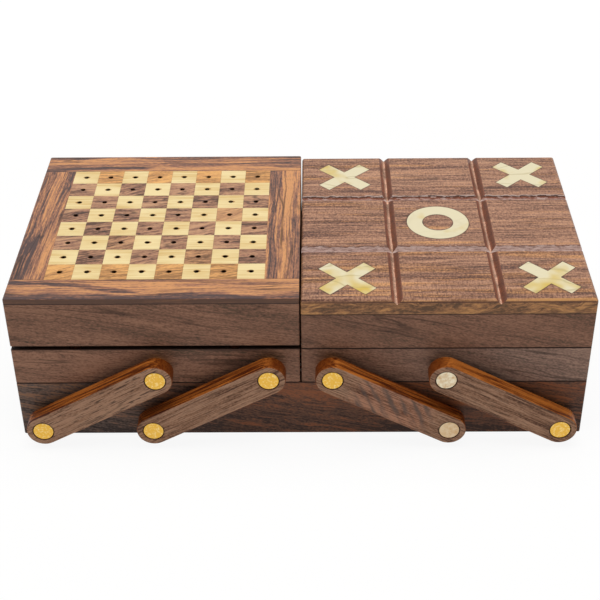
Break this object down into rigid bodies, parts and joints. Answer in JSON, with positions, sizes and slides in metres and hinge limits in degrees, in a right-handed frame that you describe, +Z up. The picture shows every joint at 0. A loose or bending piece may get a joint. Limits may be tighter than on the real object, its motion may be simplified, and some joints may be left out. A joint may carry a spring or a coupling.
{
  "type": "games compendium box",
  "caption": "Wooden games box whose two lidded trays swing out on arms over a base; one lid is a peg chess board, the other a noughts and crosses board with brass inlays.",
  "frame": {"origin": "middle of the closed box's underside", "axes": "+X to the right along the box, +Y to the back where the lid hinges are, +Z up"},
  "size_m": [0.254, 0.1488, 0.0746],
  "materials": {
    "rosewood_board": "satin lacquer",
    "rosewood_arm": "satin lacquer",
    "rosewood_border": "satin lacquer",
    "rosewood_square": "satin lacquer",
    "rosewood_top": "satin lacquer",
    "rosewood_man": "polished",
    "maple_square": "satin lacquer",
    "maple_man": "polished",
    "plywood_panel": "plain sanded",
    "brass_pivot": "polished",
    "brass_inlay": "polished",
    "brass_hinge": "satin",
    "brass_screw": "satin",
    "brass_counter": "polished",
    "cork_pad": "plain cork",
    "domino_wood": "satin lacquer",
    "card_stock": "coated paper card",
    "dice_wood": "satin lacquer",
    "stick_wood": "plain birch"
  },
  "bodies": {
    "base": {"base_back": "rosewood_board", "base_bottom": "plywood_panel", "base_dividers": "rosewood_board", "base_front": "rosewood_board", "base_left_end": "rosewood_board", "base_pivots": "brass_pivot", "base_right_end": "rosewood_board", "dice": "dice_wood", "dominoes": "domino_wood", "pick_up_sticks": "stick_wood", "playing_cards": "card_stock"},
    "left_tray": {"dark_chess_men": "rosewood_man", "left_hinge_pins": "brass_hinge", "left_tray_back": "rosewood_board", "left_tray_floor": "plywood_panel", "left_tray_front": "rosewood_board", "left_tray_hinge_leaves": "brass_hinge", "left_tray_hinge_screws": "brass_screw", "left_tray_inner_end": "rosewood_board", "left_tray_outer_end": "rosewood_board", "left_tray_pivots": "brass_pivot", "light_chess_men": "maple_man"},
    "left_lid": {"dark_squares": "rosewood_square", "left_lid_back": "rosewood_board", "left_lid_backing": "plywood_panel", "left_lid_border": "rosewood_border", "left_lid_front": "rosewood_board", "left_lid_hinge_leaves": "brass_hinge", "left_lid_hinge_screws": "brass_screw", "left_lid_inner_end": "rosewood_board", "left_lid_outer_end": "rosewood_board", "left_lid_pads": "cork_pad", "light_squares": "maple_square"},
    "right_tray": {"loose_crosses": "brass_counter", "loose_rings": "brass_counter", "right_hinge_pins": "brass_hinge", "right_tray_back": "rosewood_board", "right_tray_floor": "plywood_panel", "right_tray_front": "rosewood_board", "right_tray_hinge_leaves": "brass_hinge", "right_tray_hinge_screws": "brass_screw", "right_tray_inner_end": "rosewood_board", "right_tray_outer_end": "rosewood_board", "right_tray_pivots": "brass_pivot"},
    "right_lid": {"right_lid_back": "rosewood_board", "right_lid_brass_inlays": "brass_inlay", "right_lid_front": "rosewood_board", "right_lid_hinge_leaves": "brass_hinge", "right_lid_hinge_screws": "brass_screw", "right_lid_inner_end": "rosewood_board", "right_lid_outer_end": "rosewood_board", "right_lid_top_board": "rosewood_top"},
    "left_front_outer_arm": {"left_front_outer_arm": "rosewood_arm"},
    "left_front_inner_arm": {"left_front_inner_arm": "rosewood_arm"},
    "left_back_outer_arm": {"left_back_outer_arm": "rosewood_arm"},
    "left_back_inner_arm": {"left_back_inner_arm": "rosewood_arm"},
    "right_front_outer_arm": {"right_front_outer_arm": "rosewood_arm"},
    "right_front_inner_arm": {"right_front_inner_arm": "rosewood_arm"},
    "right_back_outer_arm": {"right_back_outer_arm": "rosewood_arm"},
    "right_back_inner_arm": {"right_back_inner_arm": "rosewood_arm"}
  },
  "joints": [
    {"name": "left_swing", "type": "hinge", "parent": "base", "child": "left_front_outer_arm", "pos_m": [-0.1153, -0.0709, 0.0104], "axis": [0, -1, 0], "range_deg": [0, 123.1]},
    {"name": "left_tray_level", "type": "hinge", "parent": "left_front_outer_arm", "child": "left_tray", "pos_m": [-0.06324, -0.0709, 0.0386], "axis": [0, -1, 0], "range_deg": [-123.1, 0]},
    {"name": "left_front_inner_arm_swing", "type": "hinge", "parent": "base", "child": "left_front_inner_arm", "pos_m": [-0.06596, -0.0709, 0.0104], "axis": [0, -1, 0], "range_deg": [0, 123.1]},
    {"name": "left_back_outer_arm_swing", "type": "hinge", "parent": "base", "child": "left_back_outer_arm", "pos_m": [-0.1153, 0.0709, 0.0104], "axis": [0, -1, 0], "range_deg": [0, 123.1]},
    {"name": "left_back_inner_arm_swing", "type": "hinge", "parent": "base", "child": "left_back_inner_arm", "pos_m": [-0.06596, 0.0709, 0.0104], "axis": [0, -1, 0], "range_deg": [0, 123.1]},
    {"name": "left_lid_hinge", "type": "hinge", "parent": "left_tray", "child": "left_lid", "pos_m": [-0.06365, 0.0652, 0.0487], "axis": [-1, 0, 0], "range_deg": [0, 105]},
    {"name": "right_swing", "type": "hinge", "parent": "base", "child": "right_front_outer_arm", "pos_m": [0.1153, -0.0709, 0.0104], "axis": [0, 1, 0], "range_deg": [0, 123.1]},
    {"name": "right_tray_level", "type": "hinge", "parent": "right_front_outer_arm", "child": "right_tray", "pos_m": [0.06324, -0.0709, 0.0386], "axis": [0, 1, 0], "range_deg": [-123.1, 0]},
    {"name": "right_front_inner_arm_swing", "type": "hinge", "parent": "base", "child": "right_front_inner_arm", "pos_m": [0.06596, -0.0709, 0.0104], "axis": [0, 1, 0], "range_deg": [0, 123.1]},
    {"name": "right_back_outer_arm_swing", "type": "hinge", "parent": "base", "child": "right_back_outer_arm", "pos_m": [0.1153, 0.0709, 0.0104], "axis": [0, 1, 0], "range_deg": [0, 123.1]},
    {"name": "right_back_inner_arm_swing", "type": "hinge", "parent": "base", "child": "right_back_inner_arm", "pos_m": [0.06596, 0.0709, 0.0104], "axis": [0, 1, 0], "range_deg": [0, 123.1]},
    {"name": "right_lid_hinge", "type": "hinge", "parent": "right_tray", "child": "right_lid", "pos_m": [0.06365, 0.0652, 0.0479], "axis": [-1, 0, 0], "range_deg": [0, 105]}
  ],
  "couplings": [
    {"joint": "left_tray_level", "follows": "left_swing", "ratio": -1},
    {"joint": "left_front_inner_arm_swing", "follows": "left_swing", "ratio": 1},
    {"joint": "left_back_outer_arm_swing", "follows": "left_swing", "ratio": 1},
    {"joint": "left_back_inner_arm_swing", "follows": "left_swing", "ratio": 1},
    {"joint": "right_tray_level", "follows": "right_swing", "ratio": -1},
    {"joint": "right_front_inner_arm_swing", "follows": "right_swing", "ratio": 1},
    {"joint": "right_back_outer_arm_swing", "follows": "right_swing", "ratio": 1},
    {"joint": "right_back_inner_arm_swing", "follows": "right_swing", "ratio": 1}
  ]
}
